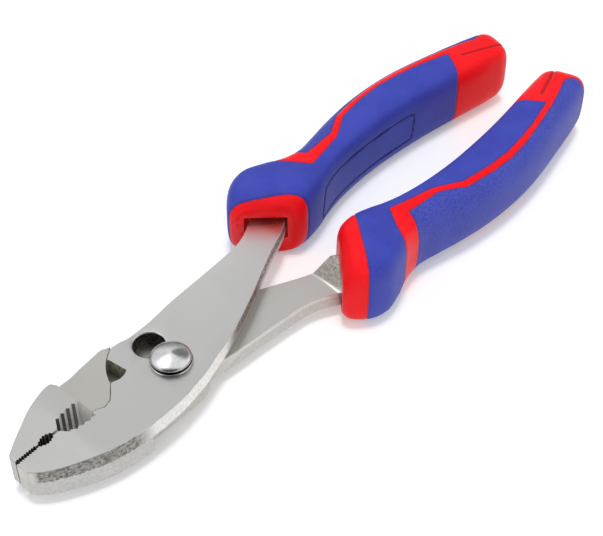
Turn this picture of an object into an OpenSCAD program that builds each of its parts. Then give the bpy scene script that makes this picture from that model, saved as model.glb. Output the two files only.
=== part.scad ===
// Slip joint pliers, two hundred millimetre class, lying flat with the jaws
// towards -X and the grips towards +X. The bolt's axis is Z and passes through
// the origin; Z = 0 is the plane that the bolt's end, the nut and the finger
// guards rest on. The jaws meet on a plane half a slip pitch beside the bolt.

/* [Overall] */
// Bolt axis to the tip of the jaws
jaw_len = 45.5; // [38:0.5:56]
// Bolt axis to the front of the grips
neck_len = 43.3; // [38:0.1:54]
// Length of each grip
grip_len = 116; // [96:1:142]
// Centre plane to the outside of each grip at the palm swell
grip_spread = 28.5; // [25:0.5:35]

/* [Levers] */
// Thickness of each lever at the lapped joint
plate_t = 4.6; // [3.8:0.1:5.6]
// Centre plane to the outer edge of the front lever at the joint
joint_half_w = 15.3; // [14:0.1:18.5]
// Radius of the round boss that turns in the other lever's shoulder
boss_r = 15.7; // [14.5:0.1:16.5]
// Radius of the lower shoulder behind the front jaw
shoulder_r = 20.3; // [19:0.1:22]
// Height that the rear jaw stands proud of the joint
jaw_rise = 0.5; // [0.2:0.1:1]
// Amount that each face of a jaw falls away at its tip
tip_thin = 0.7; // [0.3:0.1:1]
// Width of the tang inside the grip
tang_w = 8; // [6:0.5:9]

/* [Jaws] */
// Depth of the serrations at the tip
fine_tooth = 0.4; // [0.2:0.05:0.6]
// Number of serrations between the tip and the small bay
fine_teeth = 8; // [5:1:12]
// Depth of the small wire bay on each side
small_bay = 1.2; // [0.8:0.1:1.8]
// Number of serrations in the small bay
small_teeth = 6; // [4:1:9]
// Depth of the pipe bay on each side
pipe_bay = 3.3; // [2.4:0.1:4]
// Depth of the coarse teeth in the pipe bay
coarse_tooth = 0.6; // [0.3:0.05:0.9]
// Number of coarse teeth in the pipe bay
coarse_teeth = 5; // [4:1:7]

/* [Slip joint] */
// Distance between the two seats of the bolt
slip_pitch = 7.9; // [7.5:0.1:9]
// Diameter of the bolt's shank
bolt_d = 8.04; // [7:0.02:9]
// Width across the two flats of the shank
bolt_flats = 5.2; // [4.4:0.1:6]
// Diameter of the bolt's head
head_d = 10.9; // [10:0.1:14]
// Height of the head's rim
head_rim = 1.5; // [0.8:0.1:2]
// Height of the head's dome over its rim
head_dome = 1.5; // [1:0.1:2.5]
// Diameter of the bolt's threaded end
thread_d = 6; // [5:0.1:6.6]
// Width across the nut's flats
nut_flats = 10; // [9:0.1:12]
// Thickness of the nut
nut_t = 3.35; // [2.8:0.05:4.5]

/* [Grips] */
// Height of the grip at the finger guard
grip_h = 22.4; // [19:0.2:26]
// Thickness of the soft covers over the hard core
cover_t = 1.4; // [1:0.1:1.8]
// Height of the recess over and under the tang at the grip's mouth
mouth_gap = 1.5; // [0.5:0.1:1.8]

/* [Fits] */
// Play between faces that turn or slide on each other
play = 0.05; // [0.02:0.01:0.1]
// Radial clearance of the bolt in its seats
bolt_clear = 0.07; // [0.03:0.01:0.1]
// Clearance between the levers' edges
edge_clear = 0.3; // [0.2:0.05:0.5]

/* [Hidden] */

// Overrun of cuts
over = 1;
mid_y = slip_pitch / 2;
jaw_reach = jaw_len - boss_r;
z_rear = nut_t + play;
z_front = z_rear + plate_t + play;
z_top = z_front + plate_t;
z_head = z_top + play;
bolt_r = bolt_d / 2;
seat_r = bolt_r + bolt_clear;
steel = [0.75, 0.75, 0.74];
red = [0.93, 0.14, 0.16];
blue = [0.25, 0.29, 0.65];

// Curve through control points, with k steps between neighbours
function cr(a, b, c, d, t) = (2 * b + (c - a) * t + (2 * a - 5 * b + 4 * c - d) * t * t
    + (3 * b - a - 3 * c + d) * t * t * t) / 2;
function curve(p, k) = concat([for (i = [0 : len(p) - 2]) for (j = [0 : k - 1])
    cr(p[max(i - 1, 0)], p[i], p[i + 1], p[min(i + 2, len(p) - 1)], j / k)], [p[len(p) - 1]]);
function reversed(p) = [for (i = [len(p) - 1 : -1 : 0]) p[i]];

// Places along the tool. A jaw place is a share of the reach past the boss, a
// joint place a share of the boss, a neck place a share of the neck and a grip
// place a share of the grip. Widths are measured from the centre plane.
function jaw_pt(s, side) = [-(boss_r + s[0] * jaw_reach), mid_y + side * s[1] * joint_half_w];
function boss_pt(s) = [s[0] * boss_r, s[1] * boss_r];
function neck_pt(s) = [s[0] * neck_len, s[1] * joint_half_w];
function grip_pt(s) = [neck_len + s[0] * grip_len, s[1] * grip_spread];
function placed(p, side) = [for (q = p) [q[0], mid_y + side * q[1]]];

// Levers
// Outer edge of the neck, from the boss to the grip, then of the tang
joint_shares = [-0.43, 0.9];
neck_outer_shares = [[-0.097, 0.65], [-0.032, 0.615], [0.132, 0.63], [0.32, 0.70],
    [0.584, 0.75], [0.77, 0.79], [0.894, 0.825], [0.986, 0.885]];
tang_outer_shares = [[0.03, 0.54], [0.07, 0.625]];
// Inner edge of the tang at the mouth, then of the neck back to the joint
tang_inner_shares = [[0.10, 0.31], [0.067, 0.243], [0.018, 0.16]];
neck_inner_shares = [[0.866, 0.05], [0.647, -0.258], [0.372, -0.592], [0.289, -0.667],
    [0.18, -0.752], [0.051, -0.87], [-0.18, -0.984], [-0.34, -1]];
rear_inner_shares = [[0.866, 0.05], [0.647, -0.258], [0.372, -0.58], [0.289, -0.65],
    [0.18, -0.73], [0.051, -0.80], [-0.16, -0.82], [-0.34, -0.81]];
// Centre line of the tang inside the grip, as places of the grip
tang_line_shares = [[0.155, 0.565], [0.26, 0.59], [0.37, 0.655], [0.47, 0.71],
    [0.57, 0.72], [0.66, 0.69]];

function tang_side(k) = [for (i = [0 : len(tang_line_shares) - 1])
    let (p = grip_pt(tang_line_shares[i]),
         a = grip_pt(tang_line_shares[max(i - 1, 0)]),
         b = grip_pt(tang_line_shares[min(i + 1, len(tang_line_shares) - 1)]),
         n = [a[1] - b[1], b[0] - a[0]] / norm(b - a))
    p + k * n * tang_w / 2];
function outer_edge() = curve(concat([boss_pt(joint_shares) - [0, mid_y]],
    [for (s = neck_outer_shares) neck_pt(s)], [for (s = tang_outer_shares) grip_pt(s)],
    tang_side(1)), 3);
function inner_edge(neck) = curve(concat(reversed(tang_side(-1)),
    [for (s = tang_inner_shares) grip_pt(s)], [for (s = neck) neck_pt(s)]), 3);
function lever_outline(neck) = concat(outer_edge(), inner_edge(neck));

// Outer flanks of the jaws, from the joint to the tip
front_flank_shares = [[-0.05, 1], [0.1, 0.985], [0.211, 0.964], [0.362, 0.92], [0.497, 0.843],
    [0.614, 0.752], [0.721, 0.654], [0.822, 0.546], [0.909, 0.43], [0.968, 0.32], [1, 0.225]];
rear_flank_shares = [[0.31, 0.775], [0.36, 0.785], [0.436, 0.752], [0.577, 0.657], [0.681, 0.556],
    [0.772, 0.451], [0.866, 0.346], [0.936, 0.255], [0.983, 0.19], [1, 0.15]];
// Ends of the plain land at the tip and of the two bays, from the tip back
tip_land_share = 0.975;
small_bay_shares = [0.785, 0.615];
pipe_bay_shares = [0.585, 0.275];
// Depth of the pipe bay along its length, as shares of its full depth
front_bay_shares = [[0, 0], [0.1, 0.45], [0.24, 0.75], [0.4, 0.9], [0.6, 0.97], [0.85, 1], [1, 0.97]];
rear_bay_shares = [[0, 0], [0.07, 0.4], [0.16, 0.74], [0.35, 0.86], [0.6, 0.95], [0.85, 1], [1, 1]];
// Edge of the front lever's web behind the pipe bay, as shares of the boss
heel_shares = [[-1.515, 0.13], [-1.445, 0.118], [-1.325, 0.058], [-1.175, 0.105], [-0.945, 0.353]];
// Wire notch in the front lever's boss, as shares of the boss
notch_shares = [[-0.643, 0.732], [-0.599, 0.369], [-0.694, 0.325], [-0.796, 0.312],
    [-0.943, 0.357], [-1.08, 0.49], [-0.8, 0.89]];
tooth_lean_share = 0.35;
// Wedge that holds the round part of the front lever's boss
boss_shares = [[-0.446, 0.925], [-0.7, 1.1], [-1.2, 0.5], [-0.945, 0.353]];
// Part of the jaw's reach that is thinned, and that stands proud
taper_share = 0.5;
proud_share = 0.715;
rear_boss_share = 0.58;
step_share = 0.055;
rear_boss_r = boss_r * rear_boss_share;
// Where the rear lever steps up towards its grip, and the length of the step
step_x = neck_len + grip_len * step_share;
step_run = plate_t;

function jaw_x(s) = -(boss_r + s * jaw_reach);
// One row of n serrations between two places, over a depth that may vary
function row(a, b, n, deep, tooth, side, table) = [for (i = [0 : n - 1]) for (j = [0, 1])
    let (u = (i + j * tooth_lean_share) / n, d = deep * lookup(u, table))
    [jaw_x(a + (b - a) * u), mid_y + side * (edge_clear / 2 + d - j * tooth * min(1, 4 * d / max(deep, tooth)))]];
flat_row = [[0, 1], [1, 1]];
arch_row = [for (i = [0 : 8]) [i / 8, sin(180 * i / 8)]];
function jaw_edge(side, bay) = concat(
    [[jaw_x(1), mid_y + side * edge_clear / 2]],
    row(tip_land_share, small_bay_shares[0], fine_teeth, fine_tooth, fine_tooth, side, flat_row),
    row(small_bay_shares[0], small_bay_shares[1], small_teeth, small_bay, fine_tooth, side, arch_row),
    [[jaw_x(small_bay_shares[1]), mid_y + side * edge_clear / 2]],
    row(pipe_bay_shares[0], pipe_bay_shares[1], coarse_teeth, pipe_bay, coarse_tooth, side, bay),
    [[jaw_x(pipe_bay_shares[1]), mid_y + side * pipe_bay]]);
heel = [for (s = heel_shares) boss_pt(s)];
function lifted(p, d) = [for (q = p) q + [0, d]];

function front_jaw_outline() = concat(jaw_edge(-1, front_bay_shares), heel, [[-boss_r / 2, 0]],
    [[-boss_r / 2, mid_y - joint_half_w]],
    curve([for (s = front_flank_shares) jaw_pt(s, -1)], 2));
function rear_jaw_outline() = concat(jaw_edge(1, rear_bay_shares), lifted(heel, edge_clear),
    [[-boss_r / 2, boss_r / 2]], [boss_pt([-0.446, 0.925])], [boss_pt([-0.592, 0.99])],
    [jaw_pt([0.054, 0.696], 1)], [jaw_pt([0.154, 0.663], 1)], [jaw_pt([0.28, 0.66], 1)],
    curve([for (s = rear_flank_shares) jaw_pt(s, 1)], 2));

module slab(z, t) translate([0, 0, z]) linear_extrude(t) children();

// Wedge that thins the upper or lower face of a jaw towards its tip
module tip_taper(z, up) {
    run = jaw_reach * taper_share;
    wide = 4 * joint_half_w;
    translate([run - jaw_len, -wide / 2, z]) mirror([0, 0, up < 0 ? 1 : 0])
        rotate([0, -atan(tip_thin / run), 0]) translate([-jaw_len, 0, 0])
            cube([jaw_len, wide, plate_t]);
}

module front_lever() color(steel) difference() {
    union() {
        slab(z_front, plate_t) polygon(placed(lever_outline(neck_inner_shares), 1));
        intersection() {
            translate([0, 0, z_front]) cylinder(r = boss_r, h = plate_t, $fn = 96);
            slab(z_front, plate_t) polygon(concat([for (s = boss_shares) boss_pt(s)],
                [[0, -boss_r / 2], [0, mid_y]]));
        }
        // Jaw, hollowed below for the other lever's shoulder
        difference() {
            slab(z_rear - jaw_rise, z_top - z_rear + jaw_rise) polygon(front_jaw_outline());
            translate([0, 0, z_rear - jaw_rise - over])
                cylinder(r = shoulder_r, h = plate_t + jaw_rise + play + over, $fn = 128);
        }
    }
    tip_taper(z_top, 1);
    tip_taper(z_rear - jaw_rise, -1);
    for (y = [0, slip_pitch]) translate([0, y, z_front - over])
        cylinder(r = seat_r, h = plate_t + 2 * over, $fn = 64);
    translate([-bolt_flats / 2 - bolt_clear, 0, z_front - over])
        cube([bolt_flats + 2 * bolt_clear, slip_pitch, plate_t + 2 * over]);
    slab(z_front - over, plate_t + 2 * over) polygon([for (s = notch_shares) boss_pt(s)]);
}

module rear_lever() color(steel) difference() {
    union() {
        // Boss under the front lever, and the web that carries the jaw
        translate([0, 0, z_rear]) cylinder(r = rear_boss_r, h = plate_t, $fn = 96);
        intersection() {
            translate([0, 0, z_rear]) cylinder(r = shoulder_r - edge_clear, h = plate_t, $fn = 128);
            slab(z_rear, plate_t) polygon([[-2 * boss_r, mid_y], [-2 * boss_r, -rear_boss_r],
                [0, -rear_boss_r], [boss_r / 2, 0], [0, boss_r], [-boss_r, boss_r]]);
        }
        // Jaw, with its shoulder round the boss, proud of the joint at the front
        difference() {
            slab(z_rear, z_top - z_rear + jaw_rise) polygon(rear_jaw_outline());
            translate([0, 0, z_rear + plate_t])
                cylinder(r = boss_r + edge_clear, h = 2 * plate_t, $fn = 96);
            translate([proud_share * jaw_reach - jaw_len, -joint_half_w, z_top])
                cube([jaw_len, 4 * joint_half_w, plate_t]);
        }
        translate([0, mid_y, 0]) mirror([0, 1, 0]) rear_shank();
    }
    translate([0, 0, z_rear - over]) cylinder(r = seat_r, h = plate_t + 2 * over, $fn = 64);
    tip_taper(z_top + jaw_rise, 1);
    tip_taper(z_rear, -1);
}

// Neck of the rear lever, its step up to the height of the grip, and its tang,
// drawn on the positive side of the centre plane
module rear_shank() {
    difference() {
        slab(z_rear, plate_t) polygon(lever_outline(rear_inner_shares));
        translate([step_x, -grip_spread, z_rear - over])
            cube([grip_len, 3 * grip_spread, plate_t + 2 * over]);
    }
    hull() for (e = [0, 1]) intersection() {
        slab(z_rear + e * (plate_t + play), plate_t) polygon(lever_outline(rear_inner_shares));
        translate([step_x + e * step_run - play, -grip_spread, z_rear - over])
            cube([play, 3 * grip_spread, 3 * plate_t]);
    }
    intersection() {
        slab(z_front, plate_t) polygon(lever_outline(rear_inner_shares));
        translate([step_x + step_run - play, -grip_spread, z_rear - over])
            cube([grip_len, 3 * grip_spread, 3 * plate_t]);
    }
}

// Slip joint
module pivot_bolt() color([0.82, 0.82, 0.82]) union() {
    // Domed head with a rounded rim
    translate([0, 0, z_head]) rotate_extrude($fn = 96) polygon(concat(
        [[0, 0], [head_d / 2 - head_rim / 5, 0], [head_d / 2, head_rim / 5], [head_d / 2, head_rim]],
        [for (a = [80 : -10 : 0]) [head_d / 2 * sin(a), head_rim + head_dome * (1 - pow(sin(a), 2))]]));
    // Flatted shank in the front lever's slot
    translate([0, 0, z_front - play]) intersection() {
        cylinder(r = bolt_r, h = plate_t + 2 * play, $fn = 64);
        translate([-bolt_flats / 2, -bolt_d, 0]) cube([bolt_flats, 2 * bolt_d, plate_t + 2 * play]);
    }
    // Round shank in the rear lever
    translate([0, 0, z_rear - play]) cylinder(r = bolt_r, h = plate_t + play, $fn = 64);
    cylinder(d = thread_d, h = z_rear, $fn = 48);
}

module pivot_nut() color([0.7, 0.7, 0.7]) difference() {
    intersection() {
        cylinder(d = nut_flats / cos(30), h = nut_t, $fn = 6);
        rotate_extrude($fn = 64) polygon([[0, 0], [nut_flats / 2, 0],
            [nut_flats / 2 + nut_t / 4, nut_t / 4], [nut_flats / 2 + nut_t / 4, nut_t], [0, nut_t]]);
    }
    translate([0, 0, -over]) cylinder(d = thread_d, h = nut_t + 2 * over, $fn = 48);
}

// Grips
// Stations: inner place, outer place, underside and top as shares of the height
station_shares = [
    [0.126, 0.268, 0.024, 0.700, 0.100, 0.760], [0.131, 0.240, 0.026, 0.765, 0.050, 0.845],
    [0.142, 0.222, 0.038, 0.830, 0.020, 0.930], [0.160, 0.216, 0.066, 0.922, 0, 0.985],
    [0.190, 0.230, 0.109, 0.968, 0, 1], [0.226, 0.266, 0.158, 0.930, 0.012, 0.975],
    [0.266, 0.322, 0.212, 0.855, 0.025, 0.945], [0.312, 0.375, 0.270, 0.825, 0.032, 0.932],
    [0.368, 0.412, 0.335, 0.875, 0.032, 0.932], [0.425, 0.430, 0.408, 0.945, 0.030, 0.938],
    [0.495, 0.438, 0.495, 0.990, 0.025, 0.948], [0.566, 0.428, 0.584, 1, 0.020, 0.955],
    [0.640, 0.404, 0.668, 0.980, 0.022, 0.952], [0.704, 0.374, 0.740, 0.935, 0.025, 0.945],
    [0.765, 0.338, 0.808, 0.875, 0.030, 0.935], [0.835, 0.290, 0.880, 0.812, 0.040, 0.920],
    [0.905, 0.248, 0.944, 0.750, 0.050, 0.900], [0.945, 0.232, 0.980, 0.705, 0.068, 0.878],
    [0.964, 0.250, 0.995, 0.668, 0.110, 0.836], [0.972, 0.310, 1, 0.600, 0.175, 0.772]];
section_n = 24;
// Squareness of the section along the grip: crisp towards the centre plane,
// round in the palm
inner_power_shares = [[0.1, 3.4], [0.2, 4], [0.36, 4.6], [0.9, 4.4], [1, 3.4]];
outer_power_shares = [[0.02, 3.8], [0.12, 4.4], [0.24, 3], [0.4, 2.5], [0.75, 2.7], [1, 3.4]];
function sgn_pow(v, power) = sign(v) * pow(abs(v), 2 / power);
function ring(s, inset) = let (a = grip_pt([s[0], s[1]]), b = grip_pt([s[2], s[3]]),
    c = (a + b) / 2, u = (b - a) / norm(b - a), w = norm(b - a) / 2 - inset,
    h = (s[5] - s[4]) * grip_h / 2 - inset, z = (s[5] + s[4]) * grip_h / 2)
    [for (i = [0 : section_n - 1]) let (t = 360 * i / section_n,
        q = cos(t) < 0 ? lookup(s[0], inner_power_shares) : lookup(s[2], outer_power_shares),
        p = c + u * w * sgn_pow(cos(t), q)) [p[0], p[1], z + h * sgn_pow(sin(t), q)]];
module grip_body(inset, skip) {
    rings = [for (i = [skip : len(station_shares) - 1 - skip]) ring(station_shares[i], inset)];
    n = section_n;
    m = len(rings);
    polyhedron(points = [for (r = rings) for (p = r) p], faces = concat(
        [[for (i = [0 : n - 1]) i]],
        [[for (i = [n - 1 : -1 : 0]) (m - 1) * n + i]],
        [for (k = [0 : m - 2]) for (i = [0 : n - 1]) let (j = (i + 1) % n)
            [k * n + i, (k + 1) * n + i, (k + 1) * n + j, k * n + j]]), convexity = 4);
}

// Stretch of the soft cover: behind the collar, inside the stripe, up to the cap
cover_shares = [[-0.068, 1.23], [0.2, 1.23], [0.2, 0.766], [0.211, 0.680], [0.246, 0.480],
    [0.369, 0.594], [0.438, 0.757], [0.522, 0.806], [0.592, 0.814], [0.663, 0.782], [0.732, 0.730],
    [0.823, 0.634], [0.772, 0.316], [0.765, -0.2], [0.283, -0.2], [0.234, 0]];
// Stretch of the palm panel: outside the stripe
panel_shares = [[0.256, 1.23], [0.256, 0.79], [0.267, 0.640], [0.367, 0.672], [0.432, 0.824],
    [0.52, 0.872], [0.592, 0.882], [0.664, 0.848], [0.734, 0.788], [0.829, 0.693], [0.905, 0.59],
    [0.932, 0.545], [0.954, 0.552], [0.973, 0.62], [0.98, 0.70], [0.984, 1.23]];
module region(shares) slab(-over, grip_h + 2 * over) polygon([for (s = shares) grip_pt(s)]);
// Recess round the tang at the grip's mouth, with one run to its outer side
mouth_shares = [[-0.01, 0.52], [0.066, 0.665], [0.128, 0.345], [0.1, 0.29], [0.067, 0.224], [0.018, 0.142]];
module mouth(z) slab(z - mouth_gap, plate_t + 2 * mouth_gap)
    polygon([for (s = mouth_shares) grip_pt(s)]);

module grip_core(side) color(red) translate([0, mid_y, 0]) mirror([0, side < 0 ? 1 : 0, 0])
    difference() {
        grip_body(0, 0);
        difference() {
            union() { region(cover_shares); region(panel_shares); }
            grip_body(cover_t, 1);
        }
        if (side > 0) {
            slab(z_front, plate_t) polygon(lever_outline(neck_inner_shares));
            mouth(z_front);
        } else {
            rear_shank();
            mouth((z_rear + z_front) / 2);
        }
    }
module grip_cover(side) color(blue) translate([0, mid_y, 0]) mirror([0, side < 0 ? 1 : 0, 0])
    intersection() {
        difference() { grip_body(0, 0); grip_body(cover_t, 1); }
        region(cover_shares);
    }
module grip_panel(side) color(blue) translate([0, mid_y, 0]) mirror([0, side < 0 ? 1 : 0, 0])
    intersection() {
        difference() { grip_body(0, 0); grip_body(cover_t, 1); }
        region(panel_shares);
    }
module front_grip_core() grip_core(1);
module front_grip_cover() grip_cover(1);
module front_grip_panel() grip_panel(1);
module rear_grip_core() grip_core(-1);
module rear_grip_cover() grip_cover(-1);
module rear_grip_panel() grip_panel(-1);

front_lever();
rear_lever();
pivot_bolt();
pivot_nut();
front_grip_core();
front_grip_cover();
front_grip_panel();
rear_grip_core();
rear_grip_cover();
rear_grip_panel();
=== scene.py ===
"""Slip joint pliers: forged levers, a bolt and nut, and two-colour moulded grips."""
import bpy
import bmesh
import math
import numpy as np
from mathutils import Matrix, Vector


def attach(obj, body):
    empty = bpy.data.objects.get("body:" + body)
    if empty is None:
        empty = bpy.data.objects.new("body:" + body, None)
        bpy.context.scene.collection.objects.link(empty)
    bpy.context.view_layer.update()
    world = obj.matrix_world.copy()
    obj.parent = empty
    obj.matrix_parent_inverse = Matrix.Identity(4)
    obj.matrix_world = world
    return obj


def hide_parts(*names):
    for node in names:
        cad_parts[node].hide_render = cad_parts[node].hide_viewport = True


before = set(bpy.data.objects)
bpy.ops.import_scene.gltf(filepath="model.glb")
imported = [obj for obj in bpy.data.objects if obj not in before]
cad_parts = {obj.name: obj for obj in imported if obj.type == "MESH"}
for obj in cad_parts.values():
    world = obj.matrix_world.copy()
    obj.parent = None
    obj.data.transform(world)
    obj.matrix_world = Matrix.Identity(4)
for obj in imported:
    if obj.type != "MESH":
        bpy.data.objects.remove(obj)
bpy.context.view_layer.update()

# The grips, the bolt and the nut are given in millimetres, which MM turns into metres.
# Every other length is in metres.
MM = 0.001


# Camera, at the photograph's viewing angle

CAMERA_AT = (-0.14134, -0.17024, 0.25719)
CAMERA_AZIMUTH = -48.0
CAMERA_ELEVATION = 44.2
CAMERA_CLIP = (0.01, 10)
FOCAL_PIXELS = 1336
FRAME_WIDTH_PIXELS = 603
SENSOR_WIDTH_MM = 36.0


def make_camera():
    a, e = math.radians(CAMERA_AZIMUTH), math.radians(CAMERA_ELEVATION)
    back = Vector((math.sin(a) * math.cos(e), -math.cos(a) * math.cos(e), math.sin(e)))
    data = bpy.data.cameras.new("photo_camera")
    data.sensor_width = SENSOR_WIDTH_MM
    data.lens = FOCAL_PIXELS / FRAME_WIDTH_PIXELS * SENSOR_WIDTH_MM
    data.clip_start, data.clip_end = CAMERA_CLIP
    camera = bpy.data.objects.new("photo_camera", data)
    camera.location = CAMERA_AT
    camera.rotation_mode = "QUATERNION"
    camera.rotation_quaternion = (-back).to_track_quat("-Z", "Y")
    bpy.context.scene.collection.objects.link(camera)
    bpy.context.scene.camera = camera


# Shader node groups. Each effect is built once, and every material places it with its own values.

def linear(red, green, blue):
    """A colour given as the eye sees it, 0 to 255, in linear light."""
    def one(value):
        share = value / 255
        return share / 12.92 if share <= 0.04045 else ((share + 0.055) / 1.055) ** 2.4
    return (one(red), one(green), one(blue), 1)


class Tree:
    """Short names for building a node tree."""

    def __init__(self, tree):
        self.tree = tree

    def node(self, kind, **values):
        made = self.tree.nodes.new(kind)
        for name, value in values.items():
            setattr(made, name, value)
        return made

    def link(self, source, target):
        if isinstance(source, bpy.types.NodeSocket):
            self.tree.links.new(source, target)
        else:
            target.default_value = source

    def math(self, operation, *values, clamp=False):
        made = self.node("ShaderNodeMath", operation=operation, use_clamp=clamp)
        for socket, value in zip(made.inputs, values):
            self.link(value, socket)
        return made.outputs[0]

    def plus(self, first, second):
        return self.math("ADD", first, second)

    def times(self, first, *others):
        for other in others:
            first = self.math("MULTIPLY", first, other)
        return first

    def span(self, value, low, high, start=0.0, end=1.0, smooth=True):
        """value carried from low..high to start..end."""
        made = self.node("ShaderNodeMapRange", interpolation_type="SMOOTHSTEP" if smooth else "LINEAR")
        for socket, given in zip(made.inputs, (value, low, high, start, end)):
            self.link(given, socket)
        return made.outputs[0]

    def noise(self, vector, size, detail, rough, distortion=0.0):
        """Noise whose largest features are about size across."""
        made = self.node("ShaderNodeTexNoise")
        scale = self.math("DIVIDE", 1.0, size)
        for name, value in (("Vector", vector), ("Scale", scale), ("Detail", detail), ("Roughness", rough),
                            ("Distortion", distortion)):
            self.link(value, made.inputs[name])
        return made.outputs[0]

    def blend(self, share, first, second, kind="MIX"):
        made = self.node("ShaderNodeMix", data_type="RGBA", blend_type=kind)
        for socket, given in zip((made.inputs[0], made.inputs[6], made.inputs[7]), (share, first, second)):
            self.link(given, socket)
        return made.outputs[2]

    def stretched(self, vector, scale):
        made = self.node("ShaderNodeMapping")
        self.link(vector, made.inputs["Vector"])
        made.inputs["Scale"].default_value = scale
        return made.outputs[0]

    def split(self, vector):
        """The X, Y and Z of a vector."""
        made = self.node("ShaderNodeSeparateXYZ")
        self.link(vector, made.inputs[0])
        return made.outputs

    def attribute(self, name):
        return self.node("ShaderNodeAttribute", attribute_name=name).outputs["Fac"]

    def place(self, group, **values):
        """The named group, with its inputs set or linked."""
        made = self.node("ShaderNodeGroup", node_tree=bpy.data.node_groups[group])
        for name, value in values.items():
            self.link(value, made.inputs[name.replace("_", " ")])
        return made.outputs


def add_sockets(tree, inputs, outputs):
    for label, kind, value in inputs:
        socket = tree.interface.new_socket(label, in_out="INPUT", socket_type=kind)
        if value is not None:
            socket.default_value = value
    for label, kind in outputs:
        tree.interface.new_socket(label, in_out="OUTPUT", socket_type=kind)
    made = Tree(tree)
    return made, made.node("NodeGroupInput").outputs, made.node("NodeGroupOutput").inputs


def new_group(name, inputs, outputs):
    return add_sockets(bpy.data.node_groups.new(name, "ShaderNodeTree"), inputs, outputs)


VALUE, VECTOR = "NodeSocketFloat", "NodeSocketVector"
STIPPLE_SHARE = 0.85
BRUSHING_STRETCH = (0.04, 1.0, 1.0)


def make_grain_group():
    """Fine stipple over a soft unevenness, as blasting or an eroded mould leaves it."""
    t, given, out = new_group("surface_grain", (
        ("Vector", VECTOR, None), ("Grain Size", VALUE, 0.0004), ("Patch Size", VALUE, 0.01)),
        (("Height", VALUE), ("Grain", VALUE), ("Patches", VALUE)))
    fine = t.noise(given["Vector"], given["Grain Size"], detail=3.0, rough=0.6)
    patch = t.noise(given["Vector"], given["Patch Size"], detail=3.0, rough=0.5, distortion=0.3)
    t.link(t.plus(t.times(fine, STIPPLE_SHARE), t.times(patch, 1 - STIPPLE_SHARE)), out["Height"])
    t.link(t.span(fine, 0.3, 0.7), out["Grain"])
    t.link(t.span(patch, 0.32, 0.68), out["Patches"])


def make_wear_group():
    """Mask of handled edges: the marked edges of a piece, broken up by noise."""
    t, given, out = new_group("edge_wear", (
        ("Vector", VECTOR, None), ("Edge", VALUE, 0.0), ("Breakup Size", VALUE, 0.002),
        ("Amount", VALUE, 1.0)), (("Mask", VALUE),))
    patch = t.noise(given["Vector"], given["Breakup Size"], detail=4.0, rough=0.65)
    worn = t.times(given["Edge"], t.span(patch, 0.34, 0.56))
    t.link(t.math("MULTIPLY", worn, given["Amount"], clamp=True), out["Mask"])


def make_brushing_group():
    """Long fine strokes along the tool, from belt grinding."""
    t, given, out = new_group("brushed_lines", (
        ("Vector", VECTOR, None), ("Line Size", VALUE, 0.0002)), (("Lines", VALUE),))
    strokes = t.stretched(given["Vector"], BRUSHING_STRETCH)
    t.link(t.noise(strokes, given["Line Size"], detail=3.0, rough=0.7), out["Lines"])


def make_forged_group():
    """Masks of a forging: its flanks, the part of them that the band covers, and their pits.
    The band goes down from Top by Depth. Upward is how far the surface faces up or down."""
    t, given, out = new_group("forged_flank", (
        ("Vector", VECTOR, None), ("Level", VALUE, 0.0), ("Top", VALUE, 0.0127), ("Depth", VALUE, 0.0023),
        ("Upward", VALUE, 0.0), ("Grain Size", VALUE, 0.0006)),
        (("Flank", VALUE), ("Band", VALUE), ("Pits", VALUE)))
    flank = t.span(given["Upward"], 0.75, 0.45)
    pits = t.noise(given["Vector"], given["Grain Size"], detail=4.0, rough=0.7)
    wander = t.times(t.math("SUBTRACT", pits, 0.5), t.times(given["Depth"], 0.25))
    depth = t.plus(t.math("SUBTRACT", given["Top"], given["Level"]), wander)
    band = t.span(depth, t.times(given["Depth"], 0.9), t.times(given["Depth"], 1.02), 1.0, 0.0)
    t.link(flank, out["Flank"])
    t.link(t.times(flank, band), out["Band"])
    t.link(t.span(pits, 0.36, 0.62), out["Pits"])


# Materials

# Share of painted shade at the bottom of a seam or engraved line
PAINTED_GROOVE_SHADE = 0.75


def new_material(name):
    material = bpy.data.materials.new(name)
    material.use_nodes = True
    t = Tree(material.node_tree)
    shader = material.node_tree.nodes["Principled BSDF"]
    place = t.node("ShaderNodeTexCoord").outputs["Object"]
    return material, t, shader, place


def surface(t, place, grain, patches, breakup, amount):
    """The grain's outputs, and the mask of the worn edges."""
    made = t.place("surface_grain", Vector=place, Grain_Size=grain, Patch_Size=patches)
    wear = t.place("edge_wear", Vector=place, Edge=t.attribute("edge"), Breakup_Size=breakup, Amount=amount)
    return made, wear["Mask"]


def bump(t, shader, height, distance, strength):
    made = t.node("ShaderNodeBump")
    made.inputs["Distance"].default_value = distance
    made.inputs["Strength"].default_value = strength
    t.link(height, made.inputs["Height"])
    t.link(made.outputs["Normal"], shader.inputs["Normal"])


def set_roughness(t, shader, least, *added):
    """Roughness from its least value, with a share of each mask added."""
    rough = least
    for mask, share in added:
        rough = t.plus(rough, t.times(mask, share))
    t.link(rough, shader.inputs["Roughness"])


def painted_groove_shade(t, color, shade_color):
    """The colour with painted shade in the seams and engraved lines."""
    return t.blend(t.times(t.attribute("groove"), PAINTED_GROOVE_SHADE), color, shade_color)


def ramp(t, value, stops):
    """Colour along a value, from (place, colour) stops in the value's own units."""
    low, high = stops[0][0], stops[-1][0]
    made = t.node("ShaderNodeValToRGB")
    elements = made.color_ramp.elements
    while len(elements) < len(stops):
        elements.new(0.5)
    for element, (place, color) in zip(elements, stops):
        element.position = (place - low) / (high - low)
        element.color = color
    t.link(t.span(value, low, high, smooth=False), made.inputs[0])
    return made.outputs[0]


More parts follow.
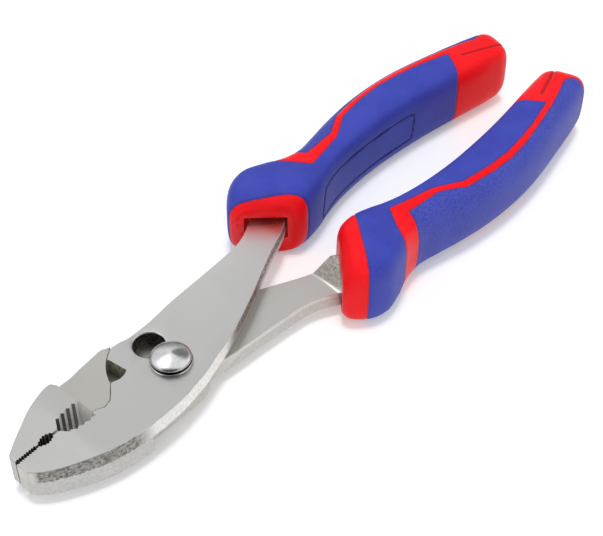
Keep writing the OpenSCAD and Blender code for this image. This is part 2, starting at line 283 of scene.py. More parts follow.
# Corners along X and Y of the cut places whose walls have a colour of their own
BAY = ((-0.0449, 0.0003), (-0.0222, 0.0078))
SLOT = ((-0.0046, -0.0046), (0.0046, 0.0126))
SEAM = ((-0.0240, 0.0006), (-0.0060, 0.0142))
NOTCH = ((-0.0149, 0.0047), (-0.0092, 0.0120))
BOX_BLUR = 0.0002
# Steel colours, each pair from its darker to its paler places
PATCH_SHADE = (0.95, 0.95, 0.95, 1)
GRAIN_STEEL = linear(214, 214, 212)
WORN_STEEL = linear(232, 231, 228)
ROUGH_SKIN = (linear(160, 154, 144), linear(216, 212, 204))
# Painted highlight for the creased edge beside the rough skin
CREASE_HIGHLIGHT = linear(240, 238, 232)
RED_CAST = linear(206, 40, 40)
PIT_STEEL = linear(212, 206, 198)
SHOULDER_STEEL = (linear(190, 189, 186), linear(222, 221, 218))
# Painted shade and painted light on the tooth faces turned to and away from the tip, darker towards the tip
PAINTED_TOOTH_SHADE = (linear(38, 34, 31), linear(120, 112, 104))
PAINTED_TOOTH_LIGHT = (linear(122, 114, 108), linear(250, 249, 247))
SLOT_WALL = (linear(44, 42, 38), linear(124, 122, 112))
# Painted light: a pale seam wall that covers the shade in the seam
SEAM_PAINTED_LIGHT = linear(226, 225, 220)
NOTCH_WALL = (linear(104, 97, 82), linear(170, 164, 148))
# Places along X where a forging changes: its band gets shallower, its pits grow, painted tooth shade and
# light pale
SHANK_AT, SHANK_BAND_SHARE = (0.010, 0.018), 0.66
PITS_AT = (0.012, 0.020)
TOOTH_SHADE_PAINTED_AT, TOOTH_LIGHT_PAINTED_AT = (-0.036, -0.0215), (-0.0345, -0.0325)
# Painted highlight on the creased edge beside the rough skin: where it starts, is whole, starts to fade and
# ends
CREASE_HIGHLIGHT_PLACES = (-0.0006, 0.0, 0.0002, 0.0009)
RED_CAST_REACH = 0.0045


def inside_box(t, at, corners):
    """Mask of the places between two corners, along X and Y."""
    mask = 1.0
    for axis, start, end in zip("XY", *corners):
        past = t.span(at[axis], start - BOX_BLUR, start + BOX_BLUR)
        short = t.span(at[axis], end - BOX_BLUR, end + BOX_BLUR, 1.0, 0.0)
        mask = t.times(mask, past, short)
    return mask


def make_forged_steel(name, face_stops, flank_stops, plate, skin_at, crease_highlight, mouth):
    """Satin forged steel: ground faces, forged flanks that change along the lever, worn edges.
    plate is the joint plate's lowest and highest level. Along X, the face turns to rough skin over skin_at,
    beside a painted highlight of brightness crease_highlight, and the grip's red shows in it near the
    mouth."""
    material, t, shader, place = new_material(name)
    at = t.split(place)
    facing = t.split(t.node("ShaderNodeNewGeometry").outputs["Normal"])
    grain, worn = surface(t, place, grain=0.00030, patches=0.016, breakup=0.0022, amount=0.75)
    brushed = t.place("brushed_lines", Vector=place, Line_Size=0.00022)
    whole = plate[1] - plate[0]
    forged = t.place("forged_flank", Vector=place, Level=at["Z"], Top=plate[1], Grain_Size=0.0008,
                     Upward=t.math("ABSOLUTE", facing["Z"]),
                     Depth=t.span(at["X"], *SHANK_AT, whole, SHANK_BAND_SHARE * whole))
    pits, flank = forged["Pits"], forged["Flank"]
    skin = t.span(at["X"], *skin_at)

    # Ground faces
    top = t.blend(t.times(grain["Patches"], 0.5), ramp(t, at["X"], face_stops), PATCH_SHADE, "MULTIPLY")
    top = t.blend(t.times(grain["Grain"], 0.10), top, GRAIN_STEEL)
    top = t.blend(t.times(skin, 0.8), top, t.blend(pits, *ROUGH_SKIN))
    # Painted highlight along the creased edge where the slope meets the face
    start, whole_from, whole_to, end = (skin_at[0] + offset for offset in CREASE_HIGHLIGHT_PLACES)
    crease_highlight_mask = t.times(t.span(at["X"], start, whole_from), t.span(at["X"], whole_to, end, crease_highlight, 0.0))
    top = t.blend(crease_highlight_mask, top, CREASE_HIGHLIGHT)
    # Speckled red on the steel towards the grip's mouth
    near_mouth = t.span(at["X"], mouth - RED_CAST_REACH, mouth)
    cast = t.times(near_mouth, t.span(grain["Grain"], 0.2, 0.8, 0.35, 1.0), 0.8)
    top = t.blend(cast, top, RED_CAST)

    # Flanks: the plate's own band above, the lighter shoulder below
    pitted = t.times(pits, t.span(at["X"], *PITS_AT, 0.52, 0.62))
    band = t.blend(pitted, ramp(t, at["X"], flank_stops), PIT_STEEL)
    side = t.blend(forged["Band"], t.blend(t.times(pits, 0.35), *SHOULDER_STEEL), band)

    # Cut walls: painted shade and painted light on the teeth by facing, the seam painted light, dull slot,
    # seam and notch walls
    painted_shade = t.blend(t.span(at["X"], *TOOTH_SHADE_PAINTED_AT), *PAINTED_TOOTH_SHADE)
    lit = t.blend(t.span(at["X"], *TOOTH_LIGHT_PAINTED_AT), *PAINTED_TOOTH_LIGHT)
    tooth_light_and_shade = t.blend(t.span(facing["X"], -0.30, 0.10), painted_shade, lit)
    bay, slot, seam, notch = (inside_box(t, at, corners) for corners in (BAY, SLOT, SEAM, NOTCH))
    for mask, wall in ((bay, tooth_light_and_shade), (slot, t.blend(pits, *SLOT_WALL)), (seam, SEAM_PAINTED_LIGHT),
                       (notch, t.blend(pits, *NOTCH_WALL))):
        side = t.blend(mask, side, wall)

    t.link(t.blend(worn, t.blend(flank, top, side), WORN_STEEL), shader.inputs["Base Color"])
    dull = t.times(t.plus(t.math("MAXIMUM", bay, seam), t.times(notch, 0.6)), flank)
    t.link(t.math("SUBTRACT", 1.0, dull, clamp=True), shader.inputs["Metallic"])
    set_roughness(t, shader, 0.30, (brushed["Lines"], 0.12), (flank, 0.14), (skin, 0.12), (worn, -0.10))
    coarse = t.times(pits, t.math("MAXIMUM", t.times(flank, 0.8), skin))
    bump(t, shader, t.plus(t.times(grain["Height"], 0.12), coarse), distance=0.00012, strength=0.6)
    return material


# Levels of the painted shade in the groove turned under the bolt's dome, and the distance between its
# turned rings
HEAD_SHADE_LOW, HEAD_SHADE_HIGH = 0.01318, 0.01374
HEAD_SHADE_BLUR = 0.0001
RING_DISTANCE = 0.00035


def make_bolt_steel():
    """Polished steel with fine turned rings, a few handling marks and painted shade in the groove under the
    dome.
    """
    material, t, shader, place = new_material("polished_bolt_steel")
    at = t.split(place)
    radius = t.math("SQRT", t.plus(t.times(at["X"], at["X"]), t.times(at["Y"], at["Y"])))
    rings = t.math("SINE", t.times(radius, 2 * math.pi / RING_DISTANCE))
    grain, worn = surface(t, place, grain=0.0005, patches=0.004, breakup=0.0012, amount=0.6)
    color = t.blend(grain["Patches"], linear(196, 196, 197), linear(224, 224, 224))
    color = t.blend(worn, color, linear(240, 240, 238))
    # Painted shade: the groove under the dome is coloured near black
    over = t.span(at["Z"], HEAD_SHADE_LOW - HEAD_SHADE_BLUR, HEAD_SHADE_LOW)
    under = t.span(at["Z"], HEAD_SHADE_HIGH, HEAD_SHADE_HIGH + HEAD_SHADE_BLUR, 1.0, 0.0)
    groove = t.times(over, under)
    t.link(t.blend(groove, color, linear(34, 32, 30)), shader.inputs["Base Color"])
    shader.inputs["Metallic"].default_value = 1
    set_roughness(t, shader, 0.13, (grain["Grain"], 0.09))
    bump(t, shader, t.plus(t.times(rings, 0.3), grain["Height"]), distance=0.00001, strength=0.5)
    return material


def make_nut_steel():
    """Zinc-plated steel, a little uneven."""
    material, t, shader, place = new_material("plated_nut_steel")
    grain, worn = surface(t, place, grain=0.0006, patches=0.003, breakup=0.001, amount=0.8)
    color = t.blend(grain["Patches"], linear(168, 170, 174), linear(196, 197, 200))
    t.link(t.blend(worn, color, linear(225, 225, 224)), shader.inputs["Base Color"])
    shader.inputs["Metallic"].default_value = 1
    set_roughness(t, shader, 0.28, (grain["Grain"], 0.14))
    bump(t, shader, grain["Height"], distance=0.00004, strength=0.6)
    return material


def make_hard_plastic():
    """Red hard moulding: smooth, slightly glossy, with a faint flow pattern."""
    material, t, shader, place = new_material("red_hard_plastic")
    grain, worn = surface(t, place, grain=0.0005, patches=0.014, breakup=0.003, amount=0.35)
    color = t.blend(grain["Patches"], linear(240, 14, 24), linear(250, 24, 34))
    color = t.blend(worn, color, linear(247, 92, 96))
    # Painted shade in the seams and engraved lines
    t.link(painted_groove_shade(t, color, linear(140, 8, 14)), shader.inputs["Base Color"])
    shader.inputs["Specular IOR Level"].default_value = 0.15
    set_roughness(t, shader, 0.30, (grain["Grain"], 0.10))
    bump(t, shader, grain["Height"], distance=0.00004, strength=0.5)
    return material


def make_soft_plastic(name, grain_size, depth, sheen_crests):
    """Blue soft moulding: matt, with an eroded stipple of the given size and depth, and painted sheen of
    the given colour on its crests.
    """
    material, t, shader, place = new_material(name)
    grain, worn = surface(t, place, grain=grain_size, patches=0.009, breakup=0.003, amount=0.4)
    color = t.blend(grain["Patches"], linear(47, 58, 164), linear(54, 66, 174))
    # Painted sheen: the stipple's crests are blended towards a paler colour
    color = t.blend(t.times(grain["Grain"], 0.4), color, sheen_crests)
    color = t.blend(worn, color, linear(92, 104, 186))
    # Painted shade in the seams and engraved lines
    t.link(painted_groove_shade(t, color, linear(22, 26, 84)), shader.inputs["Base Color"])
    shader.inputs["Specular IOR Level"].default_value = 0.3
    set_roughness(t, shader, 0.44, (grain["Grain"], 0.16))
    bump(t, shader, grain["Height"], distance=depth, strength=0.8)
    return material


make_grain_group()
make_wear_group()
make_brushing_group()
make_forged_group()
# Colours of each lever's flanks and ground faces along X
FRONT_FLANK = (
    (-0.046, linear(196, 195, 192)), (-0.0446, linear(204, 203, 200)), (-0.0438, linear(92, 91, 89)),
    (-0.0215, linear(110, 109, 106)), (-0.0160, linear(240, 240, 238)), (0.0130, linear(244, 244, 242)),
    (0.0200, linear(112, 100, 92)), (0.0550, linear(74, 63, 57)))
REAR_FLANK = (
    (-0.046, linear(186, 185, 182)), (0.0050, linear(184, 182, 178)), (0.0200, linear(220, 218, 214)),
    (0.0460, linear(222, 220, 216)), (0.0560, linear(190, 180, 172)))
FRONT_FACE = (
    (-0.046, linear(177, 177, 176)), (0.000, linear(196, 196, 195)), (0.060, linear(226, 226, 225)))
REAR_FACE = (
    (-0.046, linear(179, 179, 178)), (-0.0246, linear(184, 184, 182)), (-0.0238, linear(180, 179, 174)),
    (-0.006, linear(190, 189, 184)), (0.060, linear(222, 221, 217)))
FRONT_STEEL = make_forged_steel("satin_forged_steel", FRONT_FACE, FRONT_FLANK, plate=(0.0082, 0.01265),
                                skin_at=(0.052, 0.058), crease_highlight=0.0, mouth=0.0535)
REAR_STEEL = make_forged_steel("satin_forged_steel_rear", REAR_FACE, REAR_FLANK, plate=(0.0034, 0.0131),
                               skin_at=(0.0492, 0.0502), crease_highlight=0.55, mouth=0.0620)
BOLT_STEEL = make_bolt_steel()
NUT_STEEL = make_nut_steel()
RED = make_hard_plastic()
COVER_BLUE = make_soft_plastic("blue_soft_plastic", 0.00045, 0.00007, linear(72, 84, 180))
PANEL_BLUE = make_soft_plastic("blue_palm_plastic", 0.00055, 0.00012, linear(98, 106, 182))


# Mesh helpers

def new_object(name, vertices=(), faces=()):
    mesh = bpy.data.meshes.new(name)
    mesh.from_pydata([tuple(map(float, v)) for v in vertices], [], faces)
    made = bpy.data.objects.new(name, mesh)
    bpy.context.scene.collection.objects.link(made)
    return made


def discard(*objects):
    for piece in objects:
        bpy.data.objects.remove(piece)


def apply_modifiers(piece):
    """Turns the evaluated object into a plain mesh."""
    bpy.context.view_layer.update()
    depsgraph = bpy.context.evaluated_depsgraph_get()
    baked = bpy.data.meshes.new_from_object(piece.evaluated_get(depsgraph), depsgraph=depsgraph)
    piece.modifiers.clear()
    old = piece.data
    piece.data = baked
    if old.users == 0:
        bpy.data.meshes.remove(old)


def combined(piece, cutter, operation):
    """piece with cutter taken away, kept in common or added."""
    cut = piece.modifiers.new("cut", "BOOLEAN")
    cut.operation = operation
    cut.solver = "MANIFOLD"
    cut.object = cutter
    apply_modifiers(piece)
    return piece


def copy_of(piece, name):
    made = piece.copy()
    made.data = piece.data.copy()
    made.name = name
    bpy.context.scene.collection.objects.link(made)
    return made


def mark_edges(piece, degrees):
    """Marks the vertices on a piece's edges, for the wear in its material."""
    work = bmesh.new()
    work.from_mesh(piece.data)
    mark = work.verts.layers.float.get("edge") or work.verts.layers.float.new("edge")
    for edge in work.edges:
        if len(edge.link_faces) == 2 and edge.calc_face_angle(0) > math.radians(degrees):
            for vert in edge.verts:
                vert[mark] = 1.0
    work.to_mesh(piece.data)
    work.free()


def smooth(piece, sharp_degrees):
    mesh = piece.data
    mesh.shade_smooth()
    mesh.set_sharp_from_angle(angle=math.radians(sharp_degrees))


def solid_copy(node, name):
    """A merged copy of a node's loose triangles."""
    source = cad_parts[node].data
    work = bmesh.new()
    work.from_mesh(source)
    bmesh.ops.remove_doubles(work, verts=work.verts, dist=1e-6)
    made = new_object(name)
    work.to_mesh(made.data)
    work.free()
    return made


def prism(name, points, low, high):
    """Upright prism on an outline of (x, y) points, closed, with its faces outwards."""
    area = sum(a[0] * b[1] - b[0] * a[1] for a, b in zip(points, points[1:] + points[:1]))
    if area < 0:
        points = points[::-1]
    count = len(points)
    vertices = [(x, y, z) for z in (low, high) for x, y in points]
    faces = [tuple(range(count - 1, -1, -1)), tuple(range(count, 2 * count))]
    faces += [(i, (i + 1) % count, count + (i + 1) % count, count + i) for i in range(count)]
    return new_object(name, vertices, faces)


def finish_piece(piece, material, body, node, name):
    piece.data.materials.clear()
    piece.data.materials.append(material)
    piece.name = name
    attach(piece, body)
    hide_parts(node)


# Levers: the forgings, with every long edge eased and the eased faces marked for wear

EASE = 0.00020
SEAT_EASE = 0.00050
# Corners on one level that are closer than WELD are joined, in the crisp places only past WELD_ALL_FROM
# along X
WELD = 0.00031
SAME_LEVEL = 0.00002
WELD_ALL_FROM = -0.016
# Corners along X and Y of the slot's rim, and of the places whose edges stay crisp: the teeth, and the
# seam with its notch
SEATS = ((-0.0044, -0.0044), (0.0044, 0.0124))
CRISP = (((-0.0452, 0.0003), (-0.0335, 0.0056)), ((-0.0345, 0.0003), (-0.0230, 0.0077)),
         ((-0.0244, 0.0004), (-0.00655, 0.0140)))
# Upright part of a normal: at most this on a flank, and at least these on an outer face and a level one
FLANK_NORMAL, FACE_NORMAL, LEVEL_NORMAL = 0.5, 0.9, 0.95
# Angles in degrees up to which a face goes on over an edge, and light runs on round a curve and over an
# eased strip
FLAT_ANGLE, CURVE_ANGLE, STRIP_ANGLE = 0.5, 24, 50


def within(place, corners):
    low, high = corners
    return low[0] < place.x < high[0] and low[1] < place.y < high[1]


def in_crisp_place(place):
    return any(within(place, corners) for corners in CRISP)


def is_outline(edge):
    """An outer edge between a level face and a steep one, away from the crisp places."""
    if len(edge.link_faces) != 2 or not edge.is_convex:
        return False
    levels = sorted(abs(face.normal.z) for face in edge.link_faces)
    middle = (edge.verts[0].co + edge.verts[1].co) / 2
    return levels[0] < FLANK_NORMAL and levels[1] > FACE_NORMAL and not in_crisp_place(middle)


def weld_short_steps(work):
    """Joins corners on one level that lie too close together for an eased edge between them."""
    loose = [vert for vert in work.verts if not in_crisp_place(vert.co) or vert.co.x > WELD_ALL_FROM]
    near = bmesh.ops.find_doubles(work, verts=loose, dist=WELD)["targetmap"]
    joined = {vert: target for vert, target in near.items() if abs(vert.co.z - target.co.z) < SAME_LEVEL}
    bmesh.ops.weld_verts(work, targetmap=joined)


def in_seats(edge):
    """Whether an edge is on the rim of the slot, or of the hole under it."""
    return all(within(vert.co, SEATS) for vert in edge.verts)


def is_soft(edge, strips):
    """Whether light runs on smoothly over an edge: along eased strips, or round a curved outline."""
    if len(edge.link_faces) != 2:
        return False
    first, second = edge.link_faces
    if first in strips or second in strips:
        return edge.calc_face_angle(0) < math.radians(STRIP_ANGLE)
    level = [abs(face.normal.z) > LEVEL_NORMAL for face in (first, second)]
    return level[0] == level[1] and edge.calc_face_angle(0) < math.radians(CURVE_ANGLE)


def eased_lever(node, name, material, body):
    piece = solid_copy(node, name)
    work = bmesh.new()
    work.from_mesh(piece.data)
    bmesh.ops.dissolve_limit(work, angle_limit=math.radians(FLAT_ANGLE), verts=work.verts, edges=work.edges)
    weld_short_steps(work)
    mark = work.verts.layers.float.new("edge")
    chosen = [edge for edge in work.edges if is_outline(edge)]
    rim = [edge for edge in chosen if in_seats(edge)]
    outer = [edge for edge in chosen if not in_seats(edge)]
    strips = set()
    for edges, width in ((outer, EASE), (rim, SEAT_EASE)):
        eased = bmesh.ops.bevel(work, geom=edges, offset=width, offset_type="OFFSET", affect="EDGES",
                                segments=2, profile=0.5, clamp_overlap=False)
        strips.update(eased["faces"])
    for vert in {vert for face in strips for vert in face.verts}:
        if all(face in strips for face in vert.link_faces):
            vert[mark] = 1.0
    for face in work.faces:
        face.smooth = True
    for edge in work.edges:
        edge.smooth = is_soft(edge, strips)
    bmesh.ops.triangulate(work, faces=[face for face in work.faces if len(face.verts) > 4])
    work.to_mesh(piece.data)
    work.free()
    level = piece.modifiers.new("level", "WEIGHTED_NORMAL")
    level.mode, level.weight, level.keep_sharp = "FACE_AREA", 90, True
    apply_modifiers(piece)
    finish_piece(piece, material, body, node, name)


# Grips: one smooth loft, cut into the hard core, the soft cover and the palm panel

GRIP_START = 43.3
GRIP_LENGTH = 116.0
GRIP_SPREAD = 28.5
GRIP_HEIGHT = 22.4
CENTRE_PLANE = 3.95
COVER_THICKNESS = 1.4
# Inner place, outer place, underside and top of each station, as shares of the sizes above
STATION_SHARES = (
    (0.126, 0.268, 0.024, 0.700, 0.100, 0.760), (0.131, 0.240, 0.026, 0.765, 0.050, 0.845),
    (0.142, 0.222, 0.038, 0.830, 0.020, 0.930), (0.160, 0.216, 0.066, 0.922, 0.000, 0.985),
    (0.190, 0.230, 0.109, 0.968, 0.000, 1.000), (0.226, 0.266, 0.158, 0.930, 0.012, 0.975),
    (0.266, 0.322, 0.212, 0.855, 0.025, 0.945), (0.312, 0.375, 0.270, 0.825, 0.032, 0.932),
    (0.368, 0.412, 0.335, 0.875, 0.032, 0.932), (0.425, 0.430, 0.408, 0.945, 0.030, 0.938),
    (0.495, 0.438, 0.495, 0.990, 0.025, 0.948), (0.566, 0.428, 0.584, 1.000, 0.020, 0.955),
    (0.640, 0.404, 0.668, 0.980, 0.022, 0.952), (0.704, 0.374, 0.740, 0.935, 0.025, 0.945),
    (0.765, 0.338, 0.808, 0.875, 0.030, 0.935), (0.835, 0.290, 0.880, 0.812, 0.040, 0.920),
    (0.905, 0.248, 0.944, 0.750, 0.050, 0.900), (0.945, 0.232, 0.980, 0.705, 0.068, 0.878),
    (0.964, 0.250, 0.995, 0.668, 0.110, 0.836), (0.972, 0.310, 1.000, 0.600, 0.175, 0.772))
# Squareness of the section along the grip, towards the centre plane and in the palm
INNER_POWERS = ((0.1, 3.4), (0.2, 4.0), (0.36, 4.6), (0.9, 4.4), (1.0, 3.4))
OUTER_POWERS = ((0.02, 3.8), (0.12, 4.4), (0.24, 3.0), (0.4, 2.5), (0.75, 2.7), (1.0, 3.4))
# Outlines of the cover, the palm panel and the core's mouth, as shares along and out from the centre plane
COVER_SHARES = (
    (0.172, 1.23), (0.2, 0.766), (0.211, 0.680), (0.246, 0.480), (0.369, 0.594),
    (0.438, 0.757), (0.522, 0.806), (0.592, 0.814), (0.663, 0.782), (0.732, 0.730), (0.823, 0.634),
    (0.772, 0.316), (0.765, -0.2))
PANEL_SHARES = (
    (0.256, 1.23), (0.256, 0.79), (0.267, 0.640), (0.367, 0.672), (0.432, 0.824), (0.52, 0.872),
    (0.592, 0.882), (0.664, 0.848), (0.734, 0.788), (0.829, 0.693), (0.905, 0.59), (0.932, 0.545),
    (0.954, 0.552), (0.973, 0.62), (0.98, 0.70), (0.984, 1.23))
MOUTH_SHARES = ((-0.01, 0.52), (0.066, 0.665), (0.128, 0.345), (0.1, 0.29), (0.067, 0.224), (0.018, 0.142))
# Where the line between collar and cover crosses the centre plane and passes the palm, by side
COLLAR_SHARES = {1: ((0.216, 0.0), (-0.097, 1.23)), -1: ((0.236, 0.0), (-0.012, 1.23))}
# How fast the panel's edge leaves the ridge towards the cap, by side, and from where along the grip
PANEL_TURN_SHARES = {1: 0.12, -1: 0.0}
PANEL_TURN_START_SHARE = 0.4
CORNER_RADIUS, MOUTH_RADIUS, FRAME_RADIUS = 0.7, 0.5, 1.6
# The rounding of a corner takes at most the way to the next corner divided by CORNER_PARTS
CORNER_PARTS = 2.2
CORNER_STEPS = 5
# Lowest and highest level of the tools that cut the mouldings apart
CUT_LEVELS = (-2.0, GRIP_HEIGHT + 2)
MOUTH_GAP = 1.5
PLATE = 4.6
FRONT_TANG_LEVEL = 8.05
REAR_TANG_LEVEL = 3.40
OUTER_STEP, OUTER_POINTS = 0.45, 184
INNER_STEP, INNER_POINTS = 2.0, 48

SEAM_DEPTH, SEAM_WIDTH = 0.16, 0.28
FRAME_DEPTH, FRAME_WIDTH = 0.50, 0.32
CAP_LINE_DEPTH, CAP_LINE_WIDTH = 0.34, 0.42
# Engraved frame on the side that faces the other grip: place along X and height
FRAME_OUTLINE = ((69.5, 5.6), (114.5, 5.2), (115.5, 14.6), (71.5, 15.4))
# Line pressed into the cap's top: place along X and out from the centre plane
CAP_LINE = ((141.2, 14.6), (147, 12.6), (156.5, 9.4))
# How far the surface faces inwards or up where the frame or the cap's line starts, and where it is whole
FRAME_FACING, CAP_FACING = (0.125, 0.75), (0.2, 0.7)
# Share of a seam's depth at which the painted shade in a groove starts
GROOVE_START = 0.25


def grip_place(shares):
    """Place on the tool in millimetres: along X, and out from the centre plane."""
    return (GRIP_START + shares[0] * GRIP_LENGTH, shares[1] * GRIP_SPREAD)


def station_rows():
    """For each station its inner and outer place, underside, top and two powers, in millimetres."""
    rows = []
    for ix, im, ox, om, low, high in STATION_SHARES:
        inner, outer = grip_place((ix, im)), grip_place((ox, om))
        rows.append((*inner, *outer, low * GRIP_HEIGHT, high * GRIP_HEIGHT,
                     np.interp(ix, *zip(*INNER_POWERS)), np.interp(ox, *zip(*OUTER_POWERS))))
    return np.array(rows)


def smooth_rows(rows, step):
    """Rows on a smooth curve through the given ones, a step apart."""
    gaps = np.linalg.norm(np.diff(rows[:, :6], axis=0), axis=1)
    slopes = np.diff(rows, axis=0) / gaps[:, None]
    tangents = np.empty_like(rows)
    tangents[0], tangents[-1] = slopes[0], slopes[-1]
    before, after = gaps[:-1, None], gaps[1:, None]
    tangents[1:-1] = (slopes[:-1] * after + slopes[1:] * before) / (before + after)
    made = []
    for i, gap in enumerate(gaps):
        count = max(2, int(round(gap / step)))
        u = (np.arange(count) / count)[:, None]
        made.append((2 * u**3 - 3 * u**2 + 1) * rows[i] + (u**3 - 2 * u**2 + u) * gap * tangents[i]
                    + (3 * u**2 - 2 * u**3) * rows[i + 1] + (u**3 - u**2) * gap * tangents[i + 1])
    made.append(rows[-1:])
    return np.concatenate(made)


def section_points(rows, count, inset):
    """Points of every ring, as an array of rings, points and (x, out, z)."""
    angle = 2 * np.pi * np.arange(count) / count
    cosine, sine = np.cos(angle)[None, :], np.sin(angle)[None, :]
    power = np.where(cosine < 0, rows[:, 6:7], rows[:, 7:8])
    reach = (np.abs(cosine)**power + np.abs(sine)**power)**(-1 / power)
    inner, outer = rows[:, 0:2], rows[:, 2:4]
    middle = (inner + outer) / 2
    across = outer - inner
    width = np.linalg.norm(across, axis=1, keepdims=True)
    half = width / 2 - inset
    half_height = (rows[:, 5:6] - rows[:, 4:5]) / 2 - inset
    level = (rows[:, 5:6] + rows[:, 4:5]) / 2
    flat = middle[:, None, :] + (across / width)[:, None, :] * (half * reach * cosine)[:, :, None]
    return np.concatenate([flat, (level + half_height * reach * sine)[:, :, None]], axis=2)


def rounded(points, radius):
    """A closed outline with its corners rounded."""
    made = []
    count = len(points)
    for i in range(count):
        before, here, after = (np.array(points[(i + k) % count], float) for k in (-1, 0, 1))
        to_before, to_after = before - here, after - here
        near, far = np.linalg.norm(to_before), np.linalg.norm(to_after)
        cut = min(radius, near / CORNER_PARTS, far / CORNER_PARTS)
        start, end = here + to_before / near * cut, here + to_after / far * cut
        for k in range(CORNER_STEPS + 1):
            u = k / CORNER_STEPS
            made.append((1 - u)**2 * start + 2 * u * (1 - u) * here + u * u * end)
    return made


def cover_shares(side):
    """The cover's outline on one grip, from the palm end of its collar line round to the other end."""
    inner, outer = COLLAR_SHARES[side]
    low = COVER_SHARES[-1][1]
    below = inner[0] + (inner[0] - outer[0]) * (inner[1] - low) / (outer[1] - inner[1])
    return (outer, *COVER_SHARES, (below, low), inner)


def panel_shares(side):
    """The palm panel's outline on one grip."""
    palm = PANEL_SHARES[0][1]
    return [(x, m if m == palm else m + PANEL_TURN_SHARES[side] * max(0.0, x - PANEL_TURN_START_SHARE))
            for x, m in PANEL_SHARES]


def outline(shares, radius):
    """A closed outline in millimetres, with its corners rounded."""
    return rounded([grip_place(share) for share in shares], radius)


def distance_to(points, path, closed):
    """Shortest distance from each (u, v) point to a path of (u, v) places."""
    path = [np.array(place, float) for place in path]
    ends = path[1:] + ([path[0]] if closed else [])
    shortest = np.full(points.shape[:-1], np.inf)
    for start, end in zip(path, ends):
        run = end - start
        share = np.clip(((points - start) @ run) / max(run @ run, 1e-12), 0, 1)
        gap = np.linalg.norm(points - start - share[..., None] * run, axis=-1)
        shortest = np.minimum(shortest, gap)
    return shortest


def pressed(gap, depth, width):
    """Depth at a distance from the middle of a pressed line."""
    return depth * np.exp(-(gap / width)**2)


def relief(points, normals, side):
    """Depth of the seams and engraved lines at each point, in millimetres."""
    plan, upright = points[..., :2], points[..., ::2]
    depths = []
    for shares in (cover_shares(side), panel_shares(side)):
        seam = distance_to(plan, outline(shares, CORNER_RADIUS), closed=True)
        depths.append(pressed(seam, SEAM_DEPTH, SEAM_WIDTH))
    inward = np.interp(-normals[..., 1], FRAME_FACING, (0, 1))
    frame_gap = distance_to(upright, rounded(FRAME_OUTLINE, FRAME_RADIUS), closed=True)
    depths.append(inward * pressed(frame_gap, FRAME_DEPTH, FRAME_WIDTH))
    upward = np.interp(normals[..., 2], CAP_FACING, (0, 1))
    cap_gap = distance_to(plan, CAP_LINE, closed=False)
    depths.append(upward * pressed(cap_gap, CAP_LINE_DEPTH, CAP_LINE_WIDTH))
    return np.maximum.reduce(depths)


def grid_normals(points):
    """Normals of a grid of rings and points, all to one side of the surface."""
    along = np.gradient(points, axis=0)
    around = np.roll(points, -1, axis=1) - np.roll(points, 1, axis=1)
    normals = np.cross(around, along)
    normals /= np.maximum(np.linalg.norm(normals, axis=2, keepdims=True), 1e-9)
    return normals


def loft_object(name, points, side):
    """Closed loft of the rings on one side of the centre plane, in metres."""
    rings, count = points.shape[:2]
    placed = points.copy()
    placed[..., 1] = CENTRE_PLANE + side * points[..., 1]
    vertices = (placed * MM).reshape(-1, 3)
    faces = []
    for k in range(rings - 1):
        for i in range(count):
            j = (i + 1) % count
            faces.append((k * count + i, k * count + j, (k + 1) * count + j, (k + 1) * count + i))
    faces.append(tuple(range(count - 1, -1, -1)))
    faces.append(tuple((rings - 1) * count + i for i in range(count)))
    if side < 0:
        faces = [face[::-1] for face in faces]
    made = new_object(name, vertices, faces)
    work = bmesh.new()
    work.from_mesh(made.data)
    bmesh.ops.recalc_face_normals(work, faces=work.faces)
    work.to_mesh(made.data)
    work.free()
    return made


def grip_outer_points(side):
    """The grip's outer surface with its seams and lines pressed in."""
    rows = smooth_rows(station_rows(), OUTER_STEP)
    points = section_points(rows, OUTER_POINTS, 0)
    normals = grid_normals(points)
    # The first point of a ring is in the palm, where the surface faces away from the centre plane
    if normals[len(rows) // 2, 0, 1] < 0:
        normals = -normals
    return points - normals * relief(points, normals, side)[..., None]


def grip_inner_points():
    """The surface of the hard core under the soft mouldings."""
    return section_points(smooth_rows(station_rows()[1:-1], INNER_STEP), INNER_POINTS, COVER_THICKNESS)


def region(name, shares, side, radius, low, high):
    """Upright prism on an outline given in shares, between two levels in millimetres."""
    points = [(x * MM, (CENTRE_PLANE + side * m) * MM) for x, m in outline(shares, radius)]
    return prism(name, points, low * MM, high * MM)


def mark_grooves(piece, side):
    """Marks how deep each vertex lies in a seam or an engraved line."""
    mesh = piece.data
    points = np.empty(len(mesh.vertices) * 3)
    normals = np.empty(len(mesh.vertices) * 3)
    mesh.vertices.foreach_get("co", points)
    mesh.vertices.foreach_get("normal", normals)
    points, normals = points.reshape(-1, 3) / MM, normals.reshape(-1, 3)
    points[:, 1] = side * (points[:, 1] - CENTRE_PLANE)
    normals[:, 1] *= side
    depth = relief(points, normals, side)
    mark = mesh.attributes.new("groove", "FLOAT", "POINT")
    mark.data.foreach_set("value", np.clip(depth / SEAM_DEPTH - GROOVE_START, 0, 1))


